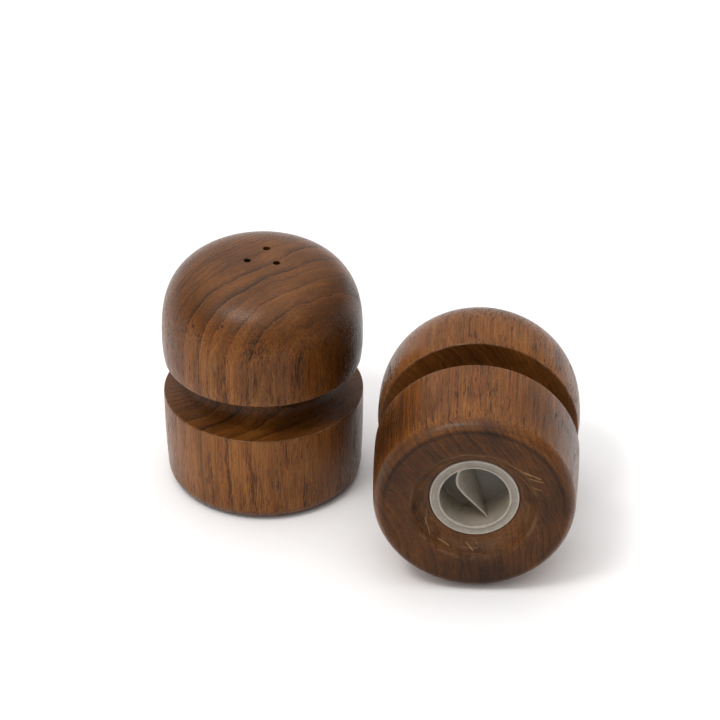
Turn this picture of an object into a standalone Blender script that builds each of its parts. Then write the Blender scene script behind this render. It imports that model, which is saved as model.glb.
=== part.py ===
"""A pair of turned teak shakers, salt standing and pepper lying on its side, each closed by a push-in stopper.

Each body is one turned piece: a domed top over a deep finger groove and a short base. The stopper is a
flexible flanged cup that sits in a dish in the foot, with a thin curled web across it as a finger grip.
Metres, +Z up. The origin is on the ground, under the middle of the pair's box.
"""

import math

import bmesh
import bpy

MM = 0.001
TURNED_SEGMENTS = 48
MERGE_DISTANCE = 0.00001

# Turned body: radii and heights are along the shaker's own axis, from its foot up
BODY_RADIUS = 25.0 * MM
BODY_HEIGHT = 62.3 * MM
LEDGE_HEIGHT = 24.5 * MM
RIM_HEIGHT = 34.5 * MM
WIDEST_HEIGHT = 40.0 * MM
RIM_RADIUS = 24.6 * MM
DOME_FULLNESS = 2.95
LOWER_WALL_RADIUS = 24.4 * MM
FOOT_ROUNDING = 4.2 * MM
EDGE_ROUNDING = 0.4 * MM
NECK_RADIUS = 14.5 * MM

# Foot dish, stopper seat and hollow
DISH_RADIUS = 15.2 * MM
DISH_DEPTH = 4.4 * MM
DISH_CURVE = 6.5 * MM
SEAT_RADIUS = 11.2 * MM
SEAT_DEPTH = 5.6 * MM
BORE_RADIUS = 9.6 * MM
CEILING_HEIGHT = 53.0 * MM
CEILING_CHAMFER = 2.5 * MM

# Shaking holes, drilled by eye a little off the middle of the dome
HOLE_RADIUS = 0.85 * MM
HOLE_SEGMENTS = 10
HOLE_RING_RADIUS = 4.2 * MM
HOLE_RING_SHIFT = (0.6 * MM, 0.4 * MM)
FIRST_HOLE_ANGLE = 84.0
SALT_HOLES = 3
PEPPER_HOLES = 5
DRILL_MARGIN = 3.0 * MM

# Stopper: heights are along the shaker's axis, from the foot up
FIT_GAP = 0.3 * MM
FLANGE_RADIUS = 10.8 * MM
FLANGE_THICKNESS = 1.2 * MM
FLANGE_HEIGHT = SEAT_DEPTH - FIT_GAP - FLANGE_THICKNESS
MOUTH_RADIUS = 8.4 * MM
CUP_RADIUS = BORE_RADIUS - FIT_GAP
CUP_TAPER = 0.3 * MM
CUP_WALL = CUP_RADIUS - MOUTH_RADIUS
CUP_DEPTH = 8.6 * MM
CUP_END_HEIGHT = FLANGE_HEIGHT + CUP_DEPTH

# Grip web in the stopper: its root crosses the cup's end wall and its free edge curls aside
WEB_THICKNESS = 0.8 * MM
WEB_HALF_SPAN = MOUTH_RADIUS + 0.3 * MM
WEB_LEAN = 0.26
WEB_CURL = 1.2 * MM
WEB_CURL_SWING = 2.2 * MM
WEB_EDGE_DEPTH_START = 0.5 * MM
WEB_EDGE_DEPTH_END = 3.1 * MM
WEB_STEPS = 10
WEB_LAYERS = 3

# Where the pair stands: the lying shaker's axis runs along +Y, with its foot in front
PAIR_SPACING = 54.3 * MM
PEPPER_FOOT_AHEAD = 50.9 * MM
PAIR_MIDDLE_Y = (BODY_RADIUS - PEPPER_FOOT_AHEAD) / 2
SALT_PLACE = (-PAIR_SPACING / 2, -PAIR_MIDDLE_Y, 0.0)
PEPPER_PLACE = (PAIR_SPACING / 2, -PEPPER_FOOT_AHEAD - PAIR_MIDDLE_Y, BODY_RADIUS)
SALT_STOPPER_TURN = 90.0


def new_material(name, color, roughness):
    made = bpy.data.materials.new(name)
    made.use_nodes = True
    shader = made.node_tree.nodes["Principled BSDF"]
    shader.inputs["Base Color"].default_value = (*color, 1.0)
    shader.inputs["Roughness"].default_value = roughness
    shader.inputs["Metallic"].default_value = 0.0
    return made


def teak():
    return new_material("teak", (0.21, 0.088, 0.036), 0.42)


def stopper_plastic():
    return new_material("stopper_plastic", (0.58, 0.55, 0.50), 0.38)


def arc(centre, radius, start, end, steps):
    """Points on an arc in the radius-height plane. Angles are in degrees, from +radius towards +height."""
    angles = [math.radians(start + (end - start) * i / steps) for i in range(steps + 1)]
    return [(centre[0] + radius * math.cos(a), centre[1] + radius * math.sin(a)) for a in angles]


def arc_between(start, end, radius, steps):
    """An arc of the given radius from start to end, bulging to the right of that direction."""
    across, up = end[0] - start[0], end[1] - start[1]
    half = math.hypot(across, up) / 2
    reach = math.sqrt(radius**2 - half**2) / (2 * half)
    centre = ((start[0] + end[0]) / 2 - up * reach, (start[1] + end[1]) / 2 + across * reach)
    first = math.degrees(math.atan2(start[1] - centre[1], start[0] - centre[0]))
    last = math.degrees(math.atan2(end[1] - centre[1], end[0] - centre[0]))
    return arc(centre, radius, first, last, steps)


def dome_outline(steps=10):
    """From the apex to the widest ring: a Lame curve, fuller than an ellipse."""
    power = 2 / DOME_FULLNESS
    rise = BODY_HEIGHT - WIDEST_HEIGHT
    points = [(0.0, BODY_HEIGHT)]
    for i in range(1, steps + 1):
        angle = math.pi / 2 * i / steps
        radius = BODY_RADIUS * math.sin(angle) ** power
        height = WIDEST_HEIGHT + rise * max(math.cos(angle), 0.0) ** power
        points.append((radius, height))
    return points


def rim_outline(steps=2):
    """From the widest ring down to the dome's rim, which is drawn in a little."""
    drop = WIDEST_HEIGHT - RIM_HEIGHT - EDGE_ROUNDING
    pull = BODY_RADIUS - RIM_RADIUS
    shares = [i / steps for i in range(1, steps + 1)]
    return [(BODY_RADIUS - pull * s * s, WIDEST_HEIGHT - drop * s) for s in shares]


def groove_outline():
    """The finger groove, with flat walls that run into a full-round bottom at the neck."""
    round_radius = (RIM_HEIGHT - LEDGE_HEIGHT) / 2
    centre = (NECK_RADIUS + round_radius, (LEDGE_HEIGHT + RIM_HEIGHT) / 2)
    upper_edge = (RIM_RADIUS - EDGE_ROUNDING, RIM_HEIGHT)
    lower_edge = (BODY_RADIUS - EDGE_ROUNDING, LEDGE_HEIGHT)
    return [upper_edge, *arc(centre, round_radius, 90, 270, 6), lower_edge]


def base_outline(steps=3):
    """The slightly barrelled wall of the base, and the rounding into the foot."""
    top = LEDGE_HEIGHT - EDGE_ROUNDING
    taper = BODY_RADIUS - LOWER_WALL_RADIUS
    shares = [i / steps for i in range(steps)]
    wall = [(BODY_RADIUS - taper * s * s, top - (top - FOOT_ROUNDING) * s) for s in shares]
    centre = (LOWER_WALL_RADIUS - FOOT_ROUNDING, FOOT_ROUNDING)
    return wall + arc(centre, FOOT_ROUNDING, 0, -90, 4)


def hollow_outline():
    """The dish in the foot, the stopper's seat, the bore and its ceiling."""
    dish = arc_between((DISH_RADIUS, 0.0), (SEAT_RADIUS, DISH_DEPTH), DISH_CURVE, 3)
    return dish + [
        (SEAT_RADIUS, SEAT_DEPTH),
        (BORE_RADIUS, SEAT_DEPTH),
        (BORE_RADIUS, CEILING_HEIGHT - CEILING_CHAMFER),
        (BORE_RADIUS - CEILING_CHAMFER, CEILING_HEIGHT),
        (0.0, CEILING_HEIGHT),
    ]


def body_outline():
    return dome_outline() + rim_outline() + groove_outline() + base_outline() + hollow_outline()


def stopper_outline():
    """From the middle of the cup's closed end, over the outside and the flange, back up the inside."""
    end_radius = CUP_RADIUS - CUP_TAPER
    end_top = CUP_END_HEIGHT + CUP_WALL
    flange_top = FLANGE_HEIGHT + FLANGE_THICKNESS
    soft = FLANGE_THICKNESS / 4
    return [
        (0.0, end_top),
        (end_radius - soft, end_top),
        (end_radius, end_top - soft),
        (CUP_RADIUS, flange_top),
        (FLANGE_RADIUS - soft, flange_top),
        (FLANGE_RADIUS, flange_top - soft),
        (FLANGE_RADIUS, FLANGE_HEIGHT + soft),
        (FLANGE_RADIUS - soft, FLANGE_HEIGHT),
        (MOUTH_RADIUS + soft, FLANGE_HEIGHT),
        (MOUTH_RADIUS, FLANGE_HEIGHT + soft),
        (MOUTH_RADIUS - CUP_TAPER, CUP_END_HEIGHT),
        (0.0, CUP_END_HEIGHT),
    ]


def new_object(name, mesh, parent):
    made = bpy.data.objects.new(name, mesh)
    bpy.context.scene.collection.objects.link(made)
    made.parent = parent
    return made


def turned_mesh(name, outline, surface):
    """The half outline as a chain of edges, which a Screw modifier turns about local Z."""
    mesh = bpy.data.meshes.new(name)
    points = [(radius, 0.0, height) for radius, height in outline]
    mesh.from_pydata(points, [(i, i + 1) for i in range(len(points) - 1)], [])
    mesh.materials.append(surface)
    return mesh


def turn(made):
    screw = made.modifiers.new("Turned", "SCREW")
    screw.axis = "Z"
    screw.steps = TURNED_SEGMENTS
    screw.render_steps = TURNED_SEGMENTS
    screw.use_merge_vertices = True
    screw.merge_threshold = MERGE_DISTANCE
    screw.use_smooth_shade = True


def combine(made, other, operation):
    """A Boolean with a helper object that stays out of renders."""
    other.hide_render = True
    other.display_type = "WIRE"
    boolean = made.modifiers.new(other.name, "BOOLEAN")
    boolean.operation = operation
    boolean.solver = "EXACT"
    boolean.object = other


def drill_mesh(name, count):
    """One cylinder for each shaking hole, through the dome and into the hollow."""
    length = BODY_HEIGHT - CEILING_HEIGHT + 2 * DRILL_MARGIN
    middle = (BODY_HEIGHT + CEILING_HEIGHT) / 2
    mesh = bpy.data.meshes.new(name)
    shape = bmesh.new()
    for i in range(count):
        angle = math.radians(FIRST_HOLE_ANGLE + 360.0 * i / count)
        drilled = bmesh.ops.create_cone(
            shape,
            cap_ends=True,
            segments=HOLE_SEGMENTS,
            radius1=HOLE_RADIUS,
            radius2=HOLE_RADIUS,
            depth=length,
        )
        place = (
            HOLE_RING_SHIFT[0] + HOLE_RING_RADIUS * math.cos(angle),
            HOLE_RING_SHIFT[1] + HOLE_RING_RADIUS * math.sin(angle),
            middle,
        )
        bmesh.ops.translate(shape, verts=drilled["verts"], vec=place)
    shape.to_mesh(mesh)
    shape.free()
    return mesh


def web_middle(share, rise):
    """A point on the web's middle surface: share runs along it, and rise is 1 at the free edge."""
    curl = WEB_CURL + WEB_CURL_SWING * math.cos(2 * math.pi * (share - 0.33) / 1.35)
    along = WEB_HALF_SPAN * (2 * share - 1)
    across = WEB_LEAN * along - curl * rise**1.3
    reach = math.sqrt(WEB_HALF_SPAN**2 - across**2) / WEB_HALF_SPAN
    root = CUP_END_HEIGHT + CUP_WALL / 2
    edge_depth = WEB_EDGE_DEPTH_START + (WEB_EDGE_DEPTH_END - WEB_EDGE_DEPTH_START) * share
    height = root + (FLANGE_HEIGHT + edge_depth - root) * rise
    return across, along * reach, height


def web_mesh(name):
    """The curled web as a closed sheet, sunk a little into the cup's wall and end."""
    mesh = bpy.data.meshes.new(name)
    shape = bmesh.new()
    sides = []
    for side in (-0.5, 0.5):
        rows = []
        for layer in range(WEB_LAYERS + 1):
            middle = [web_middle(i / WEB_STEPS, layer / WEB_LAYERS) for i in range(WEB_STEPS + 1)]
            row = [shape.verts.new((x + side * WEB_THICKNESS, y, z)) for x, y, z in middle]
            rows.append(row)
        sides.append(rows)
    left, right = sides
    for layer in range(WEB_LAYERS):
        for i in range(WEB_STEPS):
            for rows in sides:
                shape.faces.new((rows[layer][i], rows[layer][i + 1], rows[layer + 1][i + 1], rows[layer + 1][i]))
        for i in (0, WEB_STEPS):
            shape.faces.new((left[layer][i], left[layer + 1][i], right[layer + 1][i], right[layer][i]))
    for i in range(WEB_STEPS):
        for layer in (0, WEB_LAYERS):
            shape.faces.new((left[layer][i], left[layer][i + 1], right[layer][i + 1], right[layer][i]))
    bmesh.ops.recalc_face_normals(shape, faces=shape.faces)
    shape.to_mesh(mesh)
    shape.free()
    return mesh


def shaker_axis(name, place, tilt):
    """An empty at the middle of the foot, with the shaker's own axis along its local Z."""
    axis = new_object(name, None, None)
    axis.location = place
    axis.rotation_euler = (math.radians(tilt), 0.0, 0.0)
    return axis


def shaker_body(name, mesh, axis, hole_count):
    body = new_object(name, mesh, axis)
    turn(body)
    drill = new_object(f"{name}_drill", drill_mesh(f"{name}_drill", hole_count), axis)
    combine(body, drill, "DIFFERENCE")


def stopper(name, mesh, axis, turn_angle):
    cup = new_object(name, mesh, axis)
    cup.rotation_euler = (0.0, 0.0, math.radians(turn_angle))
    turn(cup)
    web = new_object(f"{name}_web", web_mesh(f"{name}_web"), cup)
    combine(cup, web, "UNION")


def clear_scene():
    for old in list(bpy.data.objects):
        bpy.data.objects.remove(old, do_unlink=True)


def main():
    clear_scene()
    body_mesh = turned_mesh("shaker_body_outline", body_outline(), teak())
    cup_mesh = turned_mesh("stopper_outline", stopper_outline(), stopper_plastic())
    salt_axis = shaker_axis("salt_axis", SALT_PLACE, 0.0)
    pepper_axis = shaker_axis("pepper_axis", PEPPER_PLACE, -90.0)
    shaker_body("salt_body", body_mesh, salt_axis, SALT_HOLES)
    shaker_body("pepper_body", body_mesh, pepper_axis, PEPPER_HOLES)
    stopper("salt_stopper", cup_mesh, salt_axis, SALT_STOPPER_TURN)
    stopper("pepper_stopper", cup_mesh, pepper_axis, 0.0)


main()
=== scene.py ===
import math

import bmesh
import bpy
from mathutils import Matrix, Vector


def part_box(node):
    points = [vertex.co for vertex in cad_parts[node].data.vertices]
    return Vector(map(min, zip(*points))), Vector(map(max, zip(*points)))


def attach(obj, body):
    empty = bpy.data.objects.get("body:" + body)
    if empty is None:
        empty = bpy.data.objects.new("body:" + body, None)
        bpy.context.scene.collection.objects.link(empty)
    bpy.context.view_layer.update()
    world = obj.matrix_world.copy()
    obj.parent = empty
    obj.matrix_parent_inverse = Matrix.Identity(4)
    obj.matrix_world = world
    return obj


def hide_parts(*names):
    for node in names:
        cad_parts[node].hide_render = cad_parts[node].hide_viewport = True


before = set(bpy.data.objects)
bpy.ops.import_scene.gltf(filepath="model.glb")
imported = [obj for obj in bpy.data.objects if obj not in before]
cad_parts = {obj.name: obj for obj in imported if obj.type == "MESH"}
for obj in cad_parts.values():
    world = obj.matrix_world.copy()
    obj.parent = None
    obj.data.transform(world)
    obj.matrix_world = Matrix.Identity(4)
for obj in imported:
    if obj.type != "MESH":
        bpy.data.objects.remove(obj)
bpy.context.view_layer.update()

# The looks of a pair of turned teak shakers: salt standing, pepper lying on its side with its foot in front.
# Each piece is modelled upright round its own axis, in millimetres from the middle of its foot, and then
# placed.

MM = 0.001

# Places of the feet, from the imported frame
salt_low, salt_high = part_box("salt_body")
pepper_low, pepper_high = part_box("pepper_body")
SALT_FOOT = Vector(((salt_low.x + salt_high.x) / 2, (salt_low.y + salt_high.y) / 2, salt_low.z))
PEPPER_FOOT = Vector(((pepper_low.x + pepper_high.x) / 2, pepper_low.y, (pepper_low.z + pepper_high.z) / 2))
LYING = Matrix.Rotation(math.radians(-90), 4, "X")
SALT_STOPPER_TURN = Matrix.Rotation(math.radians(90), 4, "Z")

# Turned body, in millimetres: radii and heights along the shaker's axis, from its foot up
BODY_RADIUS = (salt_high.x - salt_low.x) / 2 / MM
BODY_HEIGHT = (salt_high.z - salt_low.z) / MM
LEDGE_HEIGHT = 24.5
RIM_HEIGHT = 34.5
WIDEST_HEIGHT = 40.0
RIM_RADIUS = 24.6
DOME_FULLNESS = 2.95
LOWER_WALL_RADIUS = 24.4
FOOT_ROUNDING = 4.2
FACED_RADIUS = 21.7
FOOT_ARC_HEIGHT = math.sqrt(FOOT_ROUNDING**2 - (FACED_RADIUS - LOWER_WALL_RADIUS + FOOT_ROUNDING) ** 2)
RIM_ROUNDING = 0.35
NECK_RADIUS = 14.5
DISH_RADIUS = 15.2
DISH_DEPTH = 4.4
DISH_CURVE = 6.5
DISH_LIP = 1.2
SEAT_RADIUS = 11.0
SEAT_DEPTH = 5.6
BORE_RADIUS = 9.6
CEILING_HEIGHT = 53.0
CEILING_ROUNDING = 2.5
TOOL_MARK_PITCH = 0.62
TOOL_MARK_DEPTH = 0.022
UNEVENNESS = 0.05
BODY_SEGMENTS = 192

# Shaking holes
HOLE_RADIUS = 0.85
HOLE_LIP = 0.22
HOLE_RING_RADIUS = 4.2
HOLE_RING_SHIFT = (0.6, 0.4)
FIRST_HOLE_ANGLE = 84.0
SALT_HOLES = 3
PEPPER_HOLES = 5
HOLE_SEGMENTS = 28

# Stopper
FLANGE_RADIUS = 10.85
FLANGE_THICKNESS = 1.2
FLANGE_ROUNDING = 0.3
FLANGE_FACE_STEPS = 20
BEAD_ROUNDING = 0.32
CUP_ROUNDING = 0.5
FLANGE_HEIGHT = SEAT_DEPTH - 0.3 - FLANGE_THICKNESS
MOUTH_RADIUS = 8.4
CUP_RADIUS = BORE_RADIUS - 0.3
CUP_TAPER = 0.3
CUP_WALL = CUP_RADIUS - MOUTH_RADIUS
CUP_END_HEIGHT = FLANGE_HEIGHT + 8.6
CHANNEL_DEPTH = 0.22
STOPPER_SEGMENTS = 160
WEB_TIP_THICKNESS = 0.42
WEB_ROOT_THICKNESS = 0.75
WEB_HALF_SPAN = MOUTH_RADIUS + 0.3
WEB_HEIGHT = 9.0
WEB_FLARE = 0.7
WEB_FLARE_REACH = 0.35
WEB_LEAN = 0.26
WEB_CURL = 1.2
WEB_CURL_SWING = 2.2
WEB_EDGE_DEPTH_START = 0.5
WEB_EDGE_DEPTH_END = 3.1
WEB_STEPS = 48
WEB_LAYERS = 14
MOULD_RING_PITCH = 0.8
RESIDUE_PLACE = (-3.5, 5.5, CUP_END_HEIGHT - 0.5)
GATE_PLACE = (1.9, 6.1)
GATE_RADIUS = 0.42
GATE_SEGMENTS = 16

# Edges sharper than this, in degrees, stay sharp
BODY_SHARP_ANGLE = 42
STOPPER_SHARP_ANGLE = 38


# ---------------------------------------------------------------- outlines


def arc(centre, radius, start, end, steps):
    """Points on an arc in the radius-height plane. Angles are in degrees, from +radius towards +height."""
    angles = [math.radians(start + (end - start) * i / steps) for i in range(steps + 1)]
    return [(centre[0] + radius * math.cos(a), centre[1] + radius * math.sin(a)) for a in angles]


def arc_between(start, end, radius, steps):
    """An arc of the given radius from start to end, bulging to the right of that direction."""
    across, up = end[0] - start[0], end[1] - start[1]
    half = math.hypot(across, up) / 2
    reach = math.sqrt(radius**2 - half**2) / (2 * half)
    centre = ((start[0] + end[0]) / 2 - up * reach, (start[1] + end[1]) / 2 + across * reach)
    first = math.degrees(math.atan2(start[1] - centre[1], start[0] - centre[0]))
    last = math.degrees(math.atan2(end[1] - centre[1], end[0] - centre[0]))
    return arc(centre, radius, first, last, steps)


def run(start, end, step):
    """A straight run as evenly spaced points, without its last one."""
    count = max(1, round(math.dist(start, end) / step))
    shares = [i / count for i in range(count)]
    return [(start[0] + (end[0] - start[0]) * s, start[1] + (end[1] - start[1]) * s) for s in shares]


def bent_run(start, corner, end, steps):
    """A smooth bend from start to end, pulled towards corner, without its last point."""
    points = []
    for i in range(steps):
        t = i / steps
        weights = ((1 - t) ** 2, 2 * t * (1 - t), t * t)
        points.append(tuple(sum(w * p[k] for w, p in zip(weights, (start, corner, end))) for k in (0, 1)))
    return points


def dome_height(radius):
    """Height of the dome's surface at a distance from the axis."""
    share = (radius / BODY_RADIUS) ** DOME_FULLNESS
    return WIDEST_HEIGHT + (BODY_HEIGHT - WIDEST_HEIGHT) * (1 - share) ** (1 / DOME_FULLNESS)


def dome_outline(steps=72):
    power = 2 / DOME_FULLNESS
    rise = BODY_HEIGHT - WIDEST_HEIGHT
    points = [(0.0, BODY_HEIGHT)]
    for i in range(1, steps + 1):
        angle = math.pi / 2 * (i / steps) ** 1.15
        radius = BODY_RADIUS * math.sin(angle) ** power
        points.append((radius, WIDEST_HEIGHT + rise * max(math.cos(angle), 0.0) ** power))
    return points


def rim_outline(steps=12):
    drop = WIDEST_HEIGHT - RIM_HEIGHT - RIM_ROUNDING
    shares = [i / steps for i in range(1, steps)]
    wall = [(BODY_RADIUS - (BODY_RADIUS - RIM_RADIUS) * s * s, WIDEST_HEIGHT - drop * s) for s in shares]
    return wall + arc((RIM_RADIUS - RIM_ROUNDING, RIM_HEIGHT + RIM_ROUNDING), RIM_ROUNDING, 0, -90, 6)


def groove_outline():
    round_radius = (RIM_HEIGHT - LEDGE_HEIGHT) / 2
    centre = (NECK_RADIUS + round_radius, (LEDGE_HEIGHT + RIM_HEIGHT) / 2)
    ceiling = run((RIM_RADIUS - RIM_ROUNDING - 0.4, RIM_HEIGHT), (centre[0], RIM_HEIGHT), 0.6)
    bottom = arc(centre, round_radius, 90, 270, 36)
    ledge = run((centre[0] + 0.3, LEDGE_HEIGHT), (BODY_RADIUS - RIM_ROUNDING - 0.2, LEDGE_HEIGHT), 0.5)
    return ceiling + bottom + ledge


def base_outline(steps=28):
    edge = arc((BODY_RADIUS - RIM_ROUNDING, LEDGE_HEIGHT - RIM_ROUNDING), RIM_ROUNDING, 90, 0, 6)
    top = LEDGE_HEIGHT - RIM_ROUNDING
    shares = [i / steps for i in range(1, steps)]
    taper = BODY_RADIUS - LOWER_WALL_RADIUS
    wall = [(BODY_RADIUS - taper * s * s, top - (top - FOOT_ARC_HEIGHT) * s) for s in shares]
    faced = -math.degrees(math.asin(FOOT_ARC_HEIGHT / FOOT_ROUNDING))
    foot = arc((LOWER_WALL_RADIUS - FOOT_ROUNDING, FOOT_ARC_HEIGHT), FOOT_ROUNDING, 0, faced, 16)
    return edge + wall + foot


def tool_mark(distance):
    """Depth of the fine rings that the turning tool left."""
    return TOOL_MARK_DEPTH * (0.5 - 0.5 * math.cos(2 * math.pi * distance / TOOL_MARK_PITCH))


def hollow_outline():
    """The foot's face, the soft lip of the dish, the dish, the stopper's seat, the bore and its ceiling."""
    face = run((FACED_RADIUS - 0.1, 0.0), (DISH_RADIUS + DISH_LIP, 0.0), TOOL_MARK_PITCH / 4)
    face = [(radius, tool_mark(radius)) for radius, _ in face]
    dish = arc_between((DISH_RADIUS, 0.0), (SEAT_RADIUS, DISH_DEPTH), DISH_CURVE, 48)
    dish = [point for point in dish[:-1] if point[1] > DISH_LIP * 0.9]
    lip = bent_run((DISH_RADIUS + DISH_LIP, 0.0), (DISH_RADIUS, 0.0), dish[0], 8)
    dish = [(radius + tool_mark(height), height) for radius, height in dish]
    edge = [(SEAT_RADIUS + 0.08, DISH_DEPTH - 0.02), (SEAT_RADIUS, DISH_DEPTH + 0.1)]
    ceiling_corner = (BORE_RADIUS - CEILING_ROUNDING, CEILING_HEIGHT - CEILING_ROUNDING)
    ceiling = arc(ceiling_corner, CEILING_ROUNDING, 0, 90, 8)
    bore = run((BORE_RADIUS, SEAT_DEPTH + 0.2), ceiling[0], 2.0)
    seat = [(SEAT_RADIUS, SEAT_DEPTH), (BORE_RADIUS + 0.2, SEAT_DEPTH)]
    return face + lip + dish + edge + seat + bore + ceiling + [(0.0, CEILING_HEIGHT)]


def body_outline():
    return dome_outline() + rim_outline() + groove_outline() + base_outline() + hollow_outline()


def stopper_outline():
    """The closed end and the outside, the flange with its two beads, and the inside of the cup."""
    end_top = CUP_END_HEIGHT + CUP_WALL
    end_radius = CUP_RADIUS - CUP_TAPER
    flange_top = FLANGE_HEIGHT + FLANGE_THICKNESS
    outer = [(0.0, end_top), (4.0, end_top)]
    outer += arc((end_radius - CUP_ROUNDING, end_top - CUP_ROUNDING), CUP_ROUNDING, 90, 0, 5)
    outer += run((CUP_RADIUS - 0.02, flange_top + 2.0), (CUP_RADIUS, flange_top), 1.0)
    rim = arc((FLANGE_RADIUS - FLANGE_ROUNDING, flange_top - FLANGE_ROUNDING), FLANGE_ROUNDING, 90, 0, 5)
    rim += arc((FLANGE_RADIUS - BEAD_ROUNDING, FLANGE_HEIGHT + BEAD_ROUNDING), BEAD_ROUNDING, 0, -90, 7)
    return outer + rim + flange_face() + cup_inside()


def flange_face():
    """Across the flange's outer face: a bead at the rim, a shallow channel, and a bead round the mouth."""
    start, end = FLANGE_RADIUS - 0.5, MOUTH_RADIUS + 0.55
    points = []
    for i in range(FLANGE_FACE_STEPS + 1):
        share = i / FLANGE_FACE_STEPS
        dip = CHANNEL_DEPTH * math.sin(math.pi * share) ** 0.6 if 0 < share < 1 else 0.0
        points.append((start + (end - start) * share, FLANGE_HEIGHT + dip))
    return points


def cup_inside():
    mouth_centre = (MOUTH_RADIUS + FLANGE_ROUNDING, FLANGE_HEIGHT + FLANGE_ROUNDING)
    mouth = arc(mouth_centre, FLANGE_ROUNDING, 270, 180, 7)
    end_radius = MOUTH_RADIUS - CUP_TAPER
    wall = run((MOUTH_RADIUS - 0.01, FLANGE_HEIGHT + 0.7), (end_radius, CUP_END_HEIGHT - 0.6), 0.5)
    corner_centre = (end_radius - CUP_ROUNDING, CUP_END_HEIGHT - CUP_ROUNDING)
    corner = arc(corner_centre, CUP_ROUNDING, 0, 90, 6)
    floor = run((end_radius - 0.7, CUP_END_HEIGHT), (0.0, CUP_END_HEIGHT), 0.8)
    return mouth + wall + corner + floor + [(0.0, CUP_END_HEIGHT)]


# ---------------------------------------------------------------- meshes


def turned(name, outline, segments, unevenness=0.0):
    """A closed mesh from a half outline turned about Z. Its first and last points lie on the axis."""
    mesh = bpy.data.meshes.new(name)
    shape = bmesh.new()
    rings = []
    for radius, height in outline:
        if radius < 1e-6:
            rings.append([shape.verts.new((0.0, 0.0, height * MM))])
            continue
        ring = []
        for i in range(segments):
            angle = 2 * math.pi * i / segments
            swell = radius + unevenness * radius / BODY_RADIUS * uneven(angle, height)
            x, y = swell * math.cos(angle), swell * math.sin(angle)
            ring.append(shape.verts.new((x * MM, y * MM, height * MM)))
        rings.append(ring)
    for upper, lower in zip(rings, rings[1:]):
        for i in range(segments):
            after = (i + 1) % segments
            corners = [upper[i % len(upper)], lower[i % len(lower)], lower[after % len(lower)]]
            corners.append(upper[after % len(upper)])
            shape.faces.new(list(dict.fromkeys(corners)))
    bmesh.ops.recalc_face_normals(shape, faces=shape.faces)
    shape.to_mesh(mesh)
    shape.free()
    return mesh


def uneven(angle, height):
    """The slight hand-turned and shrunk irregularity of the wood, from -1 to 0."""
    oval = math.cos(2 * angle + 0.7)
    sway = math.sin(3 * angle + height * 0.11) * math.cos(height * 0.17)
    return (0.6 * oval + 0.4 * sway - 1) / 2


def new_object(name, mesh):
    made = bpy.data.objects.new(name, mesh)
    bpy.context.scene.collection.objects.link(made)
    return made


def combined(made, other, operation):
    """The mesh of made with other cut from it or joined to it. The helper is removed."""
    boolean = made.modifiers.new("Boolean", "BOOLEAN")
    boolean.operation = operation
    boolean.solver = "EXACT"
    boolean.object = other
    graph = bpy.context.evaluated_depsgraph_get()
    mesh = bpy.data.meshes.new_from_object(made.evaluated_get(graph))
    made.modifiers.clear()
    made.data = mesh
    bpy.data.objects.remove(other, do_unlink=True)


def smooth(made, sharp_angle):
    made.data.shade_smooth()
    made.data.set_sharp_from_angle(angle=math.radians(sharp_angle))


def drill(name, count):
    """The shaking holes' drills. Each flares where it meets the dome, which softens the hole's lip."""
    shape = bmesh.new()
    for i in range(count):
        angle = math.radians(FIRST_HOLE_ANGLE + 360.0 * i / count)
        x = HOLE_RING_SHIFT[0] + HOLE_RING_RADIUS * math.cos(angle)
        y = HOLE_RING_SHIFT[1] + HOLE_RING_RADIUS * math.sin(angle)
        surface = dome_height(math.hypot(x, y))
        lip = arc((HOLE_RADIUS + HOLE_LIP, surface - HOLE_LIP - 0.03), HOLE_LIP, 90, 180, 6)
        above = surface + 1
        mouth = [(0.0, above), (HOLE_RADIUS + HOLE_LIP + 0.3, above), (lip[0][0] + 0.3, lip[0][1] + 0.06)]
        outline = mouth + lip + [(HOLE_RADIUS, CEILING_HEIGHT - 2), (0.0, CEILING_HEIGHT - 2)]
        tool = turned("tool", outline, HOLE_SEGMENTS)
        tool.transform(Matrix.Translation((x * MM, y * MM, 0)))
        shape.from_mesh(tool)
    mesh = bpy.data.meshes.new(name)
    shape.to_mesh(mesh)
    shape.free()
    return new_object(name, mesh)


def shaker_body(name, hole_count):
    body = new_object(name, turned(name, body_outline(), BODY_SEGMENTS, UNEVENNESS))
    combined(body, drill(f"{name}_drill", hole_count), "DIFFERENCE")
    smooth(body, BODY_SHARP_ANGLE)
    return body


def web_middle(share, rise):
    """A point on the web's middle surface: share runs along it, and rise is 1 at the free edge."""
    curl = WEB_CURL + WEB_CURL_SWING * math.cos(2 * math.pi * (share - 0.33) / 1.35)
    along = WEB_HALF_SPAN * (2 * share - 1)
    across = WEB_LEAN * along - curl * rise**1.3
    reach = math.sqrt(WEB_HALF_SPAN**2 - across**2) / WEB_HALF_SPAN
    root = CUP_END_HEIGHT + CUP_WALL / 2
    edge_depth = WEB_EDGE_DEPTH_START + (WEB_EDGE_DEPTH_END - WEB_EDGE_DEPTH_START) * share
    height = root + (FLANGE_HEIGHT + edge_depth - root) * rise
    return Vector((across, along * reach, height))


def web_thickness(share, rise):
    """Thinner towards the free edge, with a flare into the cup's wall and end."""
    taper = WEB_ROOT_THICKNESS + (WEB_TIP_THICKNESS - WEB_ROOT_THICKNESS) * rise
    to_wall = WEB_HALF_SPAN * 2 * min(share, 1 - share)
    to_end = WEB_HEIGHT * rise
    wall_flare = WEB_FLARE * math.exp(-max(to_wall - 0.3, 0) / WEB_FLARE_REACH)
    end_flare = WEB_FLARE * math.exp(-max(to_end - 0.4, 0) / WEB_FLARE_REACH)
    return taper + wall_flare + end_flare


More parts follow.
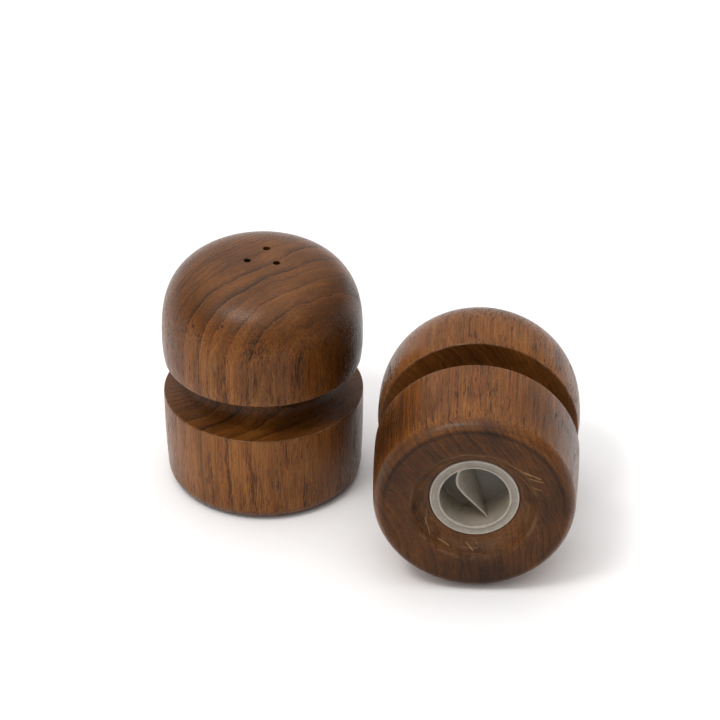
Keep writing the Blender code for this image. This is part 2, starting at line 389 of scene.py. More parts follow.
def web(name):
    """The curled grip web as a closed loop of points round its section, carried along its span."""
    shape = bmesh.new()
    sections = []
    for i in range(WEB_STEPS + 1):
        share = i / WEB_STEPS
        left, right = [], []
        for layer in range(WEB_LAYERS + 1):
            rise = layer / WEB_LAYERS
            middle = web_middle(share, rise)
            half = Vector((web_thickness(share, rise) / 2, 0, 0))
            left.append(middle - half)
            right.append(middle + half)
        crest = web_middle(share, 1.0) - Vector((0, 0, WEB_TIP_THICKNESS * 0.45))
        section = left + [crest] + right[::-1]
        sections.append([shape.verts.new(point * MM) for point in section])
    for before, after in zip(sections, sections[1:]):
        for k in range(len(before)):
            n = (k + 1) % len(before)
            shape.faces.new((before[k], before[n], after[n], after[k]))
    shape.faces.new(sections[0][::-1])
    shape.faces.new(sections[-1])
    bmesh.ops.recalc_face_normals(shape, faces=shape.faces)
    mesh = bpy.data.meshes.new(name)
    shape.to_mesh(mesh)
    shape.free()
    return new_object(name, mesh)


def gate_nub(name):
    """The little nub that the moulding gate left on the inside of the closed end."""
    dome = arc((0.0, CUP_END_HEIGHT), GATE_RADIUS, -90, 0, 6)
    outline = [(0.0, CUP_END_HEIGHT + 0.4), (GATE_RADIUS, CUP_END_HEIGHT + 0.4)] + dome[::-1]
    mesh = turned(name, outline, GATE_SEGMENTS)
    mesh.transform(Matrix.Translation((GATE_PLACE[0] * MM, GATE_PLACE[1] * MM, 0)))
    return new_object(name, mesh)


def stopper(name):
    cup = new_object(name, turned(name, stopper_outline(), STOPPER_SEGMENTS))
    combined(cup, web(f"{name}_web"), "UNION")
    combined(cup, gate_nub(f"{name}_gate"), "UNION")
    smooth(cup, STOPPER_SHARP_ANGLE)
    return cup


# ---------------------------------------------------------------- materials


class Shader:
    """Adds nodes to one material and returns their output sockets, so that a look reads as a formula."""

    def __init__(self, name):
        self.material = bpy.data.materials.new(name)
        self.material.use_nodes = True
        self.tree = self.material.node_tree
        self.surface = self.tree.nodes["Principled BSDF"]

    def node(self, kind, inputs, **settings):
        made = self.tree.nodes.new(kind)
        for name, value in settings.items():
            setattr(made, name, value)
        for name, value in inputs.items():
            self.feed(made.inputs[name], value)
        return made

    def feed(self, socket, value):
        if isinstance(value, bpy.types.NodeSocket):
            self.tree.links.new(value, socket)
        else:
            socket.default_value = value

    def set(self, name, value):
        self.feed(self.surface.inputs[name], value)

    def math(self, operation, a, b=0.0, clamp=False):
        return self.node("ShaderNodeMath", {0: a, 1: b}, operation=operation, use_clamp=clamp).outputs[0]

    def add(self, *terms):
        total = terms[0]
        for term in terms[1:]:
            total = self.math("ADD", total, term)
        return total

    def times(self, *factors):
        product = factors[0]
        for factor in factors[1:]:
            product = self.math("MULTIPLY", product, factor)
        return product

    def vector(self, operation, a, b=(0.0, 0.0, 0.0)):
        made = self.node("ShaderNodeVectorMath", {0: a, 1: b}, operation=operation)
        one_number = operation in ("LENGTH", "DISTANCE", "DOT_PRODUCT")
        return made.outputs["Value" if one_number else "Vector"]

    def place(self):
        """The point on the piece, in millimetres along its own axes."""
        corner = self.node("ShaderNodeTexCoord", {}).outputs["Object"]
        return self.vector("MULTIPLY", corner, (1 / MM, 1 / MM, 1 / MM))

    def facing(self):
        """The piece's own surface normal."""
        return self.node("ShaderNodeTexCoord", {}).outputs["Normal"]

    def split(self, vector):
        return self.node("ShaderNodeSeparateXYZ", {0: vector}).outputs

    def noise(self, vector, scale, detail=2.0, roughness=0.5, output="Fac"):
        inputs = {"Vector": vector, "Scale": scale, "Detail": detail, "Roughness": roughness}
        return self.node("ShaderNodeTexNoise", inputs).outputs[output]

    def step(self, value, low, high):
        """0 below low, 1 above high, and smooth between. With low above high it falls instead."""
        inputs = {"Value": value, "From Min": low, "From Max": high}
        made = self.node("ShaderNodeMapRange", inputs, interpolation_type="SMOOTHSTEP")
        return made.outputs["Result"]

    def ramp(self, value, stops):
        made = self.node("ShaderNodeValToRGB", {"Fac": value})
        elements = made.color_ramp.elements
        for element, (position, color) in zip(elements, (stops[0], stops[-1])):
            element.position = position
            element.color = (*color, 1.0)
        for position, color in stops[1:-1]:
            elements.new(position).color = (*color, 1.0)
        return made.outputs["Color"]

    def mix(self, factor, a, b, blend="MIX"):
        made = self.node("ShaderNodeMix", {"Factor": factor}, data_type="RGBA", blend_type=blend)
        self.feed(made.inputs[6], a if isinstance(a, bpy.types.NodeSocket) else (*a, 1.0))
        self.feed(made.inputs[7], b if isinstance(b, bpy.types.NodeSocket) else (*b, 1.0))
        return made.outputs[2]

    def bump(self, height, depth):
        """Relief of the given depth in millimetres."""
        made = self.node("ShaderNodeBump", {"Height": height, "Strength": 1.0, "Distance": depth * MM})
        return made.outputs[0]


def ring_age(shader, distance, rings):
    """Counts growth rings outwards from the pith, through the (distance, age) points in rings."""
    low, high = rings[0][0], rings[-1][0]
    oldest = rings[-1][1]
    share = shader.node("ShaderNodeMapRange", {"Value": distance, "From Min": low, "From Max": high})
    curve = shader.node("ShaderNodeFloatCurve", {"Value": share.outputs["Result"]})
    points = curve.mapping.curves[0].points
    for point, (at, age) in zip(points, (rings[0], rings[-1])):
        point.location = ((at - low) / (high - low), age / oldest)
    for at, age in rings[1:-1]:
        points.new((at - low) / (high - low), age / oldest)
    for point in points:
        point.handle_type = "VECTOR"
    curve.mapping.update()
    return shader.times(curve.outputs["Value"], oldest)


# Colours are linear. The tones go from the palest wood to the darkest lines.
TEAK_TONES = (
    (0.0, (0.240, 0.101, 0.0240)),
    (0.25, (0.150, 0.0550, 0.0105)),
    (0.5, (0.080, 0.0275, 0.0052)),
    (0.75, (0.038, 0.0142, 0.0038)),
    (1.0, (0.013, 0.0060, 0.0025)),
)
RED_TINT = (1.08, 0.90, 0.86)
RUBBED_WOOD = (0.200, 0.095, 0.032)
# Pale edges: rubbed wood with a painted highlight; also used for the dish's lip and the scuffs
WORN_AND_SHEEN_WOOD = (0.235, 0.140, 0.072)
SCRATCHED_WOOD = (0.360, 0.215, 0.095)
TEAK_RELIEF = 0.04
# How the rings wander: noise scale, its detail, and how far it moves them in millimetres
RING_SWAYS = ((0.085, 1.0, 3.5), (0.36, 1.5, 1.1), (1.4, 1.0, 0.35))
# Multiplied with a place, this drops its height
FLAT = (1.0, 1.0, 0.0)


class Wood(Shader):
    """Teak with its grain along the piece's axis: the places and masks that its looks share."""

    def __init__(self, name, seed):
        super().__init__(name)
        self.seed = seed
        self.here = self.place()
        self.shifted = self.vector("ADD", self.here, (seed, seed * 0.7, seed * 1.3))
        self.x, self.y, self.z = self.split(self.here)[:3]
        self.flat = self.vector("MULTIPLY", self.here, FLAT)
        self.radius = self.vector("LENGTH", self.flat)
        self.tilt = self.math("ABSOLUTE", self.split(self.facing())[2])
        # How far the surface cuts across the grain or runs along it, and a mask for the foot and its dish
        self.end_grain = self.step(self.tilt, 0.10, 0.65)
        self.side_grain = self.step(self.tilt, 0.75, 0.15)
        self.foot = self.times(self.step(self.z, 6.0, 2.0), self.step(self.radius, 23.6, 22.4))

    def grain(self, squeeze, scale, detail, roughness=0.5):
        """Noise that is drawn out along the grain. The smaller squeeze is, the longer its streaks."""
        along = self.vector("MULTIPLY", self.shifted, (1.0, 1.0, squeeze))
        return self.noise(along, scale, detail, roughness)

    def centred(self, noise):
        """Noise moved to lie round 0."""
        return self.add(noise, -0.5)

    def point(self, *numbers):
        return self.node("ShaderNodeCombineXYZ", dict(zip("XYZ", numbers))).outputs[0]


def growth_rings(s, pith, rings, quiet, figure):
    """The contrast of the rings, the phase from 0 to 1 across each one, and a place that follows them."""
    long_grain = s.vector("MULTIPLY", s.shifted, (1.0, 1.0, 0.05))
    bent = s.here
    for scale, detail, reach in RING_SWAYS:
        sway = s.noise(long_grain, scale, detail, 0.5, "Color")
        sway = s.vector("MULTIPLY", s.vector("SUBTRACT", sway, (0.5,) * 3), (reach, reach, 0.0))
        bent = s.vector("ADD", bent, sway)
    distance = s.vector("DISTANCE", s.vector("MULTIPLY", bent, FLAT), (*pith, 0.0))
    age = ring_age(s, distance, rings)
    phase = s.math("FRACT", age)
    ring = s.add(s.math("FLOOR", age), s.seed)
    own = s.node("ShaderNodeTexWhiteNoise", {"W": ring}, noise_dimensions="1D").outputs["Value"]
    fading = s.step(s.noise(long_grain, 0.14, 1.0), 0.3, 0.6)
    strength = s.times(s.add(0.35, s.times(own, 0.65)), s.add(0.35, s.times(fading, 0.65)), figure)
    strength = s.times(strength, s.add(0.2, s.times(s.step(distance, quiet[1], quiet[0]), 0.8)))
    strength = s.times(strength, s.add(1.0, s.times(s.side_grain, -0.6)))
    px, py = s.split(bent)[:2]
    around = s.math("ARCTAN2", s.add(py, -pith[1]), s.add(px, -pith[0]))
    layer = s.point(s.add(distance, s.seed), s.times(around, 12.0), s.times(s.z, 0.03))
    return strength, phase, layer

# How much darker the foot and the inner half of its rounding are, with painted shade over the end grain's
# tone; the painted shade in its creases and in the holes; the painted highlight on the pale rim beside the
# creases; and some spots of the piece.

def foot_shade_and_marks(s, spots):
    """How much darker the foot, its creases, the drilled holes and some spots of the piece are."""
    # Painted shade in the crease where the foot's face meets its rounding
    from_crease = s.math("ABSOLUTE", s.add(s.radius, -FACED_RADIUS))
    crease = s.times(s.step(from_crease, 0.7, 0.1), s.step(s.z, 1.4, 0.5))
    # Painted shade inside the holes
    hole_shade = s.times(s.step(s.radius, 7.6, 6.6), s.step(s.tilt, 0.6, 0.3))
    hole_shade = s.times(hole_shade, s.step(s.z, CEILING_HEIGHT - 1.0, CEILING_HEIGHT))
    # A painted highlight: the pale rim just outside the crease
    from_rim = s.math("ABSOLUTE", s.add(s.radius, -FACED_RADIUS - 0.9))
    rim = s.times(s.step(from_rim, 0.6, 0.1), s.step(s.z, 2.4, 1.0))
    # The painted shade in the crease and the painted highlight on the pale rim outside it show most on the
    # side that is uppermost when the shaker lies
    upper = s.step(s.y, 8.0, -14.0)
    crease = s.times(crease, s.add(0.05, s.times(upper, 0.13)))
    # The foot and the inner half of its rounding are darker: the end grain's tone with painted shade
    dark = s.add(crease, s.times(rim, upper, -0.14), s.times(s.foot, 0.16), s.times(hole_shade, 0.6))
    for at, size, amount in spots:
        near = s.step(s.vector("DISTANCE", s.here, at), size, 0.0)
        dark = s.add(dark, s.times(near, amount))
    return dark


def wear_and_sheen(s, color, scratches):
    """Lightens the edges, where a painted highlight lies over rubbed-off oil, and the scuffed wood round the
    stopper.
    """
    profile = s.node("ShaderNodeCombineXYZ", {"X": s.radius, "Z": s.z}).outputs[0]
    worn_and_sheen = 0.0
    # The ledge's and the rim's edges are pale: a painted highlight, with some rubbing
    for edge in ((BODY_RADIUS, LEDGE_HEIGHT), (RIM_RADIUS, RIM_HEIGHT)):
        near = s.step(s.vector("DISTANCE", profile, (edge[0], 0.0, edge[1])), 0.34, 0.12)
        worn_and_sheen = s.math("MAXIMUM", near, worn_and_sheen)
    lip = s.step(s.vector("DISTANCE", profile, (DISH_RADIUS - 0.1, 0.0, 0.6)), 0.9, 0.2)
    worn_and_sheen = s.math("MAXIMUM", s.times(lip, 0.5), worn_and_sheen)
    patchy = s.step(s.noise(s.shifted, 0.35, 3.0), 0.45, 0.62)
    worn_and_sheen = s.times(worn_and_sheen, s.add(0.10, s.times(patchy, 0.90)))
    angle = s.math("ARCTAN2", s.y, s.x)
    swirl = s.point(s.times(s.radius, 5.5), s.times(angle, 2.2), s.seed)
    scuffs = s.step(s.noise(swirl, 1.0, 3.0, 0.6), 0.54, 0.64)
    scuffs = s.times(scuffs, s.step(s.radius, 16.5, 12.5), s.foot)
    worn_and_sheen = s.math("MAXIMUM", worn_and_sheen, s.times(scuffs, 0.9))
    rubbed = s.step(s.noise(s.shifted, 0.2, 3.0, 0.6), 0.38, 0.62)
    rubbed = s.times(s.step(s.radius, 17.5, 12.5), rubbed, s.foot)
    color = s.mix(s.times(rubbed, 0.24), color, RUBBED_WOOD)
    color = s.mix(s.times(worn_and_sheen, 0.5), color, WORN_AND_SHEEN_WOOD)
    for start, end, width in scratches:
        mark = s.times(scratch(s, start, end, width), s.foot)
        color = s.mix(s.times(mark, 0.6), color, SCRATCHED_WOOD)
    return color


def teak(name, pith, rings, quiet, figure, depth, seed, spots, scratches=()):
    """Oiled teak, grown round a pith beside the piece, with its grain along the piece's axis.

    The ring lines fade where the distance from the pith goes from quiet[0] to quiet[1]. figure is their
    contrast, and depth says how dark the wood is between them, from 0 to 1.
    """
    s = Wood(name, seed)

    # Growth rings: each darkens outwards to a sharp thin line, and the next starts with a pale one
    strength, phase, layer = growth_rings(s, pith, rings, quiet, figure)
    line = s.times(s.math("POWER", phase, 9.0), strength)
    shade = s.times(s.math("POWER", phase, 2.0), strength)
    pale = s.times(s.step(phase, 0.13, 0.02), strength)
    bands = s.centred(s.noise(layer, 0.45, 4.0, 0.62))
    strands = s.centred(s.noise(layer, 2.1, 2.0, 0.6))

    # Fine flecks along the grain, and darker pores that crowd at the end of a ring
    fleck_noise = s.grain(0.12, 4.4, 2.0, 0.6)
    flecks = s.times(s.step(fleck_noise, 0.53, 0.70), s.side_grain)
    glints = s.times(s.step(fleck_noise, 0.47, 0.32), s.side_grain)
    crowd = s.times(s.math("POWER", phase, 3.0), 0.11)
    patch = s.times(s.centred(s.grain(0.35, 0.22, 1.0)), 0.45)
    pores = s.step(s.add(s.grain(0.07, 3.4, 1.5), crowd, patch), 0.61, 0.73)
    pores = s.times(pores, s.add(0.25, s.times(s.side_grain, 0.75)))
    fibres = s.centred(s.grain(0.012, 2.4, 4.0, 0.7))
    speckle = s.centred(s.grain(0.3, 3.0, 3.0, 0.75))
    clouds = s.centred(s.grain(0.5, 0.075, 3.0, 0.55))

    # Straight sanding lines across the foot
    across = s.add(s.times(s.x, 1.7), s.times(s.y, -1.4))
    sanding = s.noise(s.point(across, s.times(s.add(s.x, s.y), 0.04), seed), 1.0, 3.0, 0.6)
    sanding = s.times(s.centred(sanding), s.foot, s.step(s.y, 4.0, -8.0))

    dark = s.add(
        depth,
        s.times(line, 0.36),
        s.times(shade, 0.20),
        s.times(pale, -0.15),
        s.times(flecks, 0.12),
        s.times(glints, -0.06),
        s.times(pores, 0.32),
        s.times(bands, 0.50),
        s.times(strands, s.add(0.34, s.times(s.side_grain, -0.2))),
        s.times(fibres, s.add(0.30, s.times(s.side_grain, 0.70))),
        s.times(speckle, s.add(0.55, s.times(s.side_grain, -0.2))),
        s.times(clouds, 0.50),
        s.times(s.end_grain, 0.19),
        s.times(sanding, 0.50),
        s.times(s.side_grain, -0.01),
        foot_shade_and_marks(s, spots),
    )
    color = s.ramp(dark, TEAK_TONES)
    redness = s.step(s.grain(0.015, 1.1, 3.0, 0.6), 0.35, 0.65)
    redness = s.times(redness, s.add(0.45, s.times(s.side_grain, 0.3)))
    color = s.mix(redness, color, RED_TINT, "MULTIPLY")

    s.set("Base Color", wear_and_sheen(s, color, scratches))
    roughness = s.add(0.27, s.times(pores, 0.2), s.times(flecks, 0.08), s.times(s.foot, 0.4))
    s.set("Roughness", s.add(roughness, s.times(fibres, 0.15)))
    s.set("IOR", 1.46)
    s.set("Specular IOR Level", s.add(0.26, s.times(s.side_grain, -0.05)))
    relief = s.add(s.times(pores, -1.0), s.times(flecks, -0.35), s.times(fibres, 0.3), s.times(line, -0.6))
    s.set("Normal", s.bump(s.add(relief, s.times(speckle, -1.2)), TEAK_RELIEF))
    return s.material


def scratch(s, start, end, width):
    """1 on a thin straight scratch across the foot from start to end, in millimetres, and 0 away from it."""
    along = Vector((end[0] - start[0], end[1] - start[1], 0.0))
    from_start = s.vector("SUBTRACT", s.flat, (*start, 0.0))
    share = s.vector("DOT_PRODUCT", from_start, along / along.length_squared)
    share = s.math("MULTIPLY", share, 1.0, clamp=True)
    nearest = s.node("ShaderNodeVectorMath", {0: tuple(along), "Scale": share}, operation="SCALE")
    return s.step(s.vector("DISTANCE", from_start, nearest.outputs["Vector"]), width, width * 0.4)


PLASTIC_TONES = ((0.3, (0.27, 0.236, 0.193)), (0.7, (0.36, 0.318, 0.264)))
CHANNEL_GREY = (0.175, 0.160, 0.140)
# Inside the cup: painted shade, painted light with a stain on its pale side, and painted shade at its closed
# end
PAINTED_SHADE_LINING = (0.130, 0.118, 0.100)
LIT_STAINED_LINING = (0.300, 0.248, 0.185)
END_SHADE_LINING = (0.095, 0.092, 0.080)
RESIDUE = (0.150, 0.105, 0.050)
# Painted highlight for the beads and the web's free edge
PAINTED_EDGE_HIGHLIGHT = (0.52, 0.48, 0.42)
PLASTIC_RELIEF = 0.03
FLOOR_TONES = ((0.0, (0.895, 0.90, 0.915)), (1.0, (0.92, 0.925, 0.935)))


def stopper_plastic(name):
    """Aged translucent plastic: painted highlights on its edges, a greyer channel in the flange, painted
    shade inside the cup, and old residue in the cup.
    """
    s = Shader(name)
    place = s.place()
    y, z = s.split(place)[1:3]
    radius = s.vector("LENGTH", s.vector("MULTIPLY", place, FLAT))
    clouds = s.noise(place, 0.55, 3.0, 0.6)
    scuffs = s.noise(place, 3.5, 3.0, 0.65)
    hollow = s.step(radius, MOUTH_RADIUS + 0.35, MOUTH_RADIUS + 0.1)
    hollow = s.times(hollow, s.step(z, CUP_END_HEIGHT + 0.6, CUP_END_HEIGHT + 0.3))
    inside = s.times(hollow, s.step(z, FLANGE_HEIGHT + 0.8, FLANGE_HEIGHT + 5.0))
    color = s.ramp(clouds, PLASTIC_TONES)

    # The channel between the flange's two beads is darker and greyer, in patches
    channel = s.step(radius, MOUTH_RADIUS + 0.5, MOUTH_RADIUS + 0.8)
    channel = s.times(channel, s.step(radius, FLANGE_RADIUS - 0.4, FLANGE_RADIUS - 0.7))
    channel_grey = s.times(channel, s.add(0.25, s.times(s.step(scuffs, 0.46, 0.56), 0.75)))
    color = s.mix(s.times(channel_grey, 0.55), color, CHANNEL_GREY)

    # The cup's inside is duller with painted shade, more so on the side towards -y, which is uppermost when
    # the pepper lies, and at its closed end, and less on the web; the side towards +y is paler, painted light
    # with a stain
    painted_lining = s.mix(s.step(y, -1.5, 5.0), PAINTED_SHADE_LINING, LIT_STAINED_LINING)
    end = s.step(z, CUP_END_HEIGHT - 0.7, CUP_END_HEIGHT - 0.1)
    painted_lining = s.mix(s.times(end, 0.75), painted_lining, END_SHADE_LINING)
    off_web = s.math("MAXIMUM", end, s.step(radius, MOUTH_RADIUS - 1.6, MOUTH_RADIUS - 0.7))
    color = s.mix(s.times(inside, s.add(0.35, s.times(off_web, 0.5))), color, painted_lining)

    # Brown residue where the cup's wall meets its end, on one side
    near = s.step(s.vector("DISTANCE", place, RESIDUE_PLACE), 6.0, 1.0)
    residue = s.times(near, s.step(s.noise(place, 0.8, 3.0, 0.6), 0.42, 0.62))
    color = s.mix(s.times(residue, 0.7), color, RESIDUE)

    # Painted highlights on the edges: the two beads, and the web's free edge, which dips from one end to the
    # other
    inner_bead_highlight = s.times(bead(s, radius, MOUTH_RADIUS + 0.25), s.step(scuffs, 0.44, 0.66), 0.6)
    beads = s.math("MAXIMUM", inner_bead_highlight, bead(s, radius, FLANGE_RADIUS - 0.22))
    beads = s.times(beads, s.step(z, FLANGE_HEIGHT + 0.9, FLANGE_HEIGHT + 0.4))
    slope = (WEB_EDGE_DEPTH_END - WEB_EDGE_DEPTH_START) / (2 * WEB_HALF_SPAN)
    middle = FLANGE_HEIGHT + (WEB_EDGE_DEPTH_START + WEB_EDGE_DEPTH_END) / 2
    below_edge = s.add(z, s.times(y, -slope), -middle)
    crest = s.times(s.step(below_edge, 0.35, 0.05), s.step(radius, MOUTH_RADIUS - 0.1, MOUTH_RADIUS - 0.3))
    color = s.mix(s.times(s.math("MAXIMUM", beads, crest), 0.6), color, PAINTED_EDGE_HIGHLIGHT)

    s.set("Base Color", color)
    s.set("Roughness", s.add(0.34, s.times(scuffs, 0.2)))
    s.set("IOR", 1.5)
    s.set("Specular IOR Level", 0.35)
    s.set("Subsurface Weight", 0.2)
    s.set("Subsurface Radius", (1.0, 0.95, 0.85))
    s.set("Subsurface Scale", 1.2 * MM)
    rings = s.math("SINE", s.times(s.add(z, s.times(radius, 0.6)), 2 * math.pi / MOULD_RING_PITCH))
    s.set("Normal", s.bump(s.add(scuffs, s.times(clouds, 0.5), s.times(rings, inside, 0.25)), PLASTIC_RELIEF))
    return s.material


def bead(s, radius, at):
    """1 along the bead at a radius."""
    return s.step(s.math("ABSOLUTE", s.add(radius, -at)), 0.3, 0.08)


def floor_material():
    s = Shader("floor")
    grain = s.noise(s.place(), 0.02, 3.0)
    s.set("Base Color", s.ramp(grain, FLOOR_TONES))
    s.set("Roughness", 0.7)
    s.set("Specular IOR Level", 0.2)
    return s.material


# ---------------------------------------------------------------- light and camera


FLOOR_HALF_WIDTH = 3.0
FLOOR_DROP = 0.00005
KEY_SIZE = (0.28, 0.21)
KEY_WATTS = 3.3
KEY_COLOR = (1.0, 0.975, 0.94)
KEY_TOWARDS = (-0.33, -0.38, 0.866)
KEY_DISTANCE = 1.1
KEY_AIM = (0, 0, 0.03)
CAMERA_PLACE = (0.0443, -0.7986, 0.5657)
CAMERA_TURN = 3.33
CAMERA_DOWN = 33.235
CAMERA_ROLL = -0.284
CAMERA_LENS = 195.0
WORLD_COLOR = (1.0, 0.983, 0.968, 1.0)
# How bright the dimmest part of the room is, and the glows added to it: which way each lies, where it starts
# and is full (as the cosine of the angle to that direction), and its amount
WORLD_DIM = 0.42
WORLD_GLOWS = (
    ((0.0, 0.0, 1.0), 0.4, 0.95, 0.80),
    ((0.0, 0.0, 1.0), 0.75, 0.98, 0.6),
    ((-0.45, -0.6, 0.66), 0.7, 0.95, 0.50),
    ((-0.4, 0.9, 0.3), 0.3, 0.95, 0.30),
)


def add_floor():
    half = FLOOR_HALF_WIDTH
    mesh = bpy.data.meshes.new("floor")
    corners = [(-half, -half, 0), (half, -half, 0), (half, half, 0), (-half, half, 0)]
    mesh.from_pydata(corners, [], [(0, 1, 2, 3)])
    mesh.materials.append(floor_material())
    floor = new_object("floor", mesh)
    floor.location.z = salt_low.z - FLOOR_DROP


def add_key_light():
    """A softbox up on the left, in front of the pair."""
    light = bpy.data.lights.new("key", "AREA")
    light.shape = "RECTANGLE"
    light.size, light.size_y = KEY_SIZE
    light.energy = KEY_WATTS
    light.color = KEY_COLOR
    key = bpy.data.objects.new("key", light)
    bpy.context.scene.collection.objects.link(key)
    towards = Vector(KEY_TOWARDS).normalized()
    key.location = Vector(KEY_AIM) + towards * KEY_DISTANCE
    key.rotation_euler = towards.to_track_quat("Z", "Y").to_euler()


def add_world():
    """A pale room: brightest overhead, with softer glows behind and up on the front left."""
    world = bpy.data.worlds.new("room")
    bpy.context.scene.world = world
    world.use_nodes = True
    tree = world.node_tree
    background = tree.nodes["Background"]
    direction = tree.nodes.new("ShaderNodeTexCoord").outputs["Generated"]
    strength = None
    for towards, start, end, amount in WORLD_GLOWS:
        dot = tree.nodes.new("ShaderNodeVectorMath")
        dot.operation = "DOT_PRODUCT"
        tree.links.new(direction, dot.inputs[0])
        dot.inputs[1].default_value = Vector(towards).normalized()
        glow = tree.nodes.new("ShaderNodeMapRange")
        glow.interpolation_type = "SMOOTHSTEP"
        tree.links.new(dot.outputs["Value"], glow.inputs["Value"])
        glow.inputs["From Min"].default_value = start
        glow.inputs["From Max"].default_value = end
        glow.inputs["To Max"].default_value = amount
        if strength is None:
            # The first glow carries the dim part too
            glow.inputs["To Min"].default_value = WORLD_DIM
            glow.inputs["To Max"].default_value = WORLD_DIM + amount
            strength = glow.outputs["Result"]
            continue
        total = tree.nodes.new("ShaderNodeMath")
        tree.links.new(strength, total.inputs[0])
        tree.links.new(glow.outputs["Result"], total.inputs[1])
        strength = total.outputs[0]
    tree.links.new(strength, background.inputs["Strength"])
    background.inputs["Color"].default_value = WORLD_COLOR


def add_camera():
    camera_data = bpy.data.cameras.new("camera")
    camera_data.lens = CAMERA_LENS
    camera_data.sensor_width = 36.0
    camera_data.clip_start = 0.01
    camera = bpy.data.objects.new("camera", camera_data)
    bpy.context.scene.collection.objects.link(camera)
    turn = Matrix.Rotation(math.radians(CAMERA_TURN), 4, "Z")
    tip = Matrix.Rotation(math.radians(90 - CAMERA_DOWN), 4, "X")
    roll = Matrix.Rotation(math.radians(CAMERA_ROLL), 4, "Z")
    camera.matrix_world = Matrix.Translation(CAMERA_PLACE) @ turn @ tip @ roll
    bpy.context.scene.camera = camera


# ---------------------------------------------------------------- the pair


def place_piece(piece, material, foot, turn, body, node):
    """Puts an upright piece on its foot's place, and says what it stands for."""
    piece.data.materials.clear()
    piece.data.materials.append(material)
    piece.matrix_world = Matrix.Translation(foot) @ turn
    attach(piece, body)
    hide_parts(node)


# The wood of each shaker: where its pith is beside its axis, its rings as (distance from the pith, age), the
# distances between which their lines fade, and its darker or paler spots as (place, size, how much darker).
# Some spots are painted shade, and one is painted light.
SALT_PITH = (-76.0, 82.0)
SALT_RINGS = (
    (80.0, 0.0), (110.1, 19.0), (115.4, 20.0), (120.5, 21.0), (122.8, 22.0), (126.5, 23.0),
    (130.7, 24.0), (134.4, 25.0), (136.5, 26.0), (150.0, 32.0),
)
SALT_QUIET = (131.5, 136.0)
SALT_SPOTS_AND_SHADE = (
    ((-13.0, -13.0, 55.0), 6.0, 0.15),
    ((-15.8, -12.2, 58.3), 2.2, 0.12),
    # Painted shade on the right side, where the pepper stands close
    ((27.0, -10.0, 40.0), 27.0, 0.58),
    # Painted light: a lift of the shade on the middle of the ledge, under the dome's rim
    ((0.0, -19.5, 24.5), 7.0, -0.10),
    # Painted shade on the right of the lower wall, beside the pepper
    ((23.0, -14.0, 10.0), 20.0, 0.30),
    # Painted shade on the dome's front, below its highlight
    ((5.0, -24.0, 46.0), 17.0, 0.22),
    # Painted shade on the dome's front left shoulder
    ((-22.0, -13.0, 48.0), 14.0, 0.20),
    ((23.5, -8.0, 47.0), 1.6, 0.35),
    ((-15.4, -17.3, 52.9), 0.7, 0.55),
    ((-8.0, -20.4, 55.0), 0.6, 0.60),
    ((-8.9, -20.4, 54.4), 0.45, 0.45),
    ((-3.4, -22.2, 50.6), 0.5, 0.40),
)
SALT_FIGURE = 1.0
SALT_DEPTH = 0.21
SALT_SEED = 17.0
PEPPER_PITH = (-58.0, 24.0)
PEPPER_RINGS = ((30.0, 0.0), (61.6, 16.0), (70.0, 21.0), (77.7, 26.0), (86.0, 33.0), (100.0, 47.0))
PEPPER_QUIET = (90.0, 100.0)
PEPPER_SPOTS_AND_SHADE = (
    # Painted shadow on the left wall, which the salt shades
    ((-23.0, -13.0, 12.0), 20.0, 0.48),
    ((-9.0, -23.0, 10.0), 12.0, 0.10),
    # Painted shade on the right side
    ((24.0, -8.0, 18.0), 18.0, 0.20),
    ((2.0, -18.0, 0.0), 11.0, 0.12),
    # Painted shade in the groove on top
    ((0.0, -22.0, 30.0), 13.0, 0.12),
    # Painted shade on the upper right, near the foot
    ((16.0, -20.0, 12.0), 18.0, 0.14),
    ((4.0, 20.0, 0.0), 13.0, 0.18),
    ((-1.0, 13.0, 0.0), 7.0, 0.08),
)
PEPPER_FIGURE = 0.6
PEPPER_DEPTH = 0.235
PEPPER_SEED = 53.0
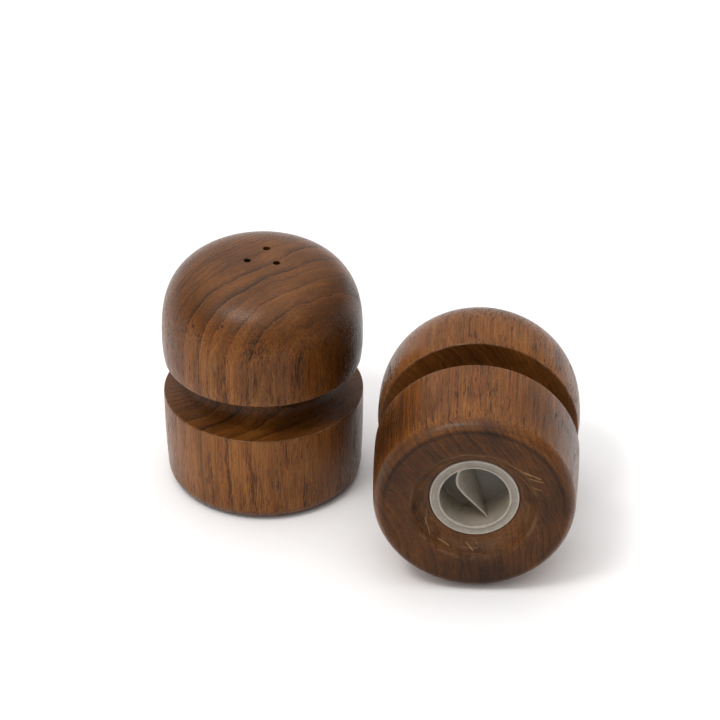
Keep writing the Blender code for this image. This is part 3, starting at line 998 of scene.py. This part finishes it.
# Scratches on the pepper's foot: start, end and width
PEPPER_SCRATCHES = (
    ((-1.9, 12.6), (-0.3, 14.0), 0.16),
    ((0.3, 12.0), (0.7, 12.9), 0.12),
    ((12.0, -10.7), (15.8, -8.8), 0.15),
    ((13.0, -8.9), (16.4, -7.9), 0.11),
    ((13.2, -6.6), (15.9, -5.6), 0.10),
    ((4.9, -12.9), (9.6, -10.4), 0.12),
    ((7.6, -11.9), (12.6, -8.0), 0.12),
    ((9.2, -12.0), (13.4, -9.6), 0.11),
    ((10.6, -7.6), (13.6, -4.4), 0.11),
    ((-7.4, -13.2), (-2.6, -14.4), 0.12),
    ((-5.8, -12.2), (-0.4, -13.4), 0.11),
    ((-3.4, -14.9), (2.8, -14.6), 0.11),
    ((-1.0, -12.8), (4.4, -12.4), 0.10),
    ((-11.4, 3.4), (-11.6, 7.0), 0.12),
    ((-11.9, 5.4), (-10.6, 9.4), 0.11),
    ((-8.6, 11.0), (-6.0, 12.8), 0.11),
)


def main():
    bpy.context.scene.view_settings.view_transform = "Standard"
    plastic = stopper_plastic("stopper_plastic_aged")
    salt_teak = teak(
        "teak_salt", SALT_PITH, SALT_RINGS, SALT_QUIET, SALT_FIGURE, SALT_DEPTH, SALT_SEED, SALT_SPOTS_AND_SHADE
    )
    pepper_teak = teak(
        "teak_pepper", PEPPER_PITH, PEPPER_RINGS, PEPPER_QUIET,
        PEPPER_FIGURE, PEPPER_DEPTH, PEPPER_SEED, PEPPER_SPOTS_AND_SHADE, PEPPER_SCRATCHES,
    )
    salt_body = shaker_body("turned_salt_body", SALT_HOLES)
    pepper_body = shaker_body("turned_pepper_body", PEPPER_HOLES)
    upright = Matrix.Identity(4)
    place_piece(salt_body, salt_teak, SALT_FOOT, upright, "salt_shaker", "salt_body")
    place_piece(pepper_body, pepper_teak, PEPPER_FOOT, LYING, "pepper_shaker", "pepper_body")
    salt_cup = stopper("moulded_salt_stopper")
    pepper_cup = stopper("moulded_pepper_stopper")
    place_piece(
        salt_cup, plastic, SALT_FOOT, SALT_STOPPER_TURN, "salt_stopper", "salt_stopper"
    )
    place_piece(
        pepper_cup, plastic, PEPPER_FOOT, LYING, "pepper_stopper", "pepper_stopper"
    )
    add_floor()
    add_key_light()
    add_world()
    add_camera()


main()
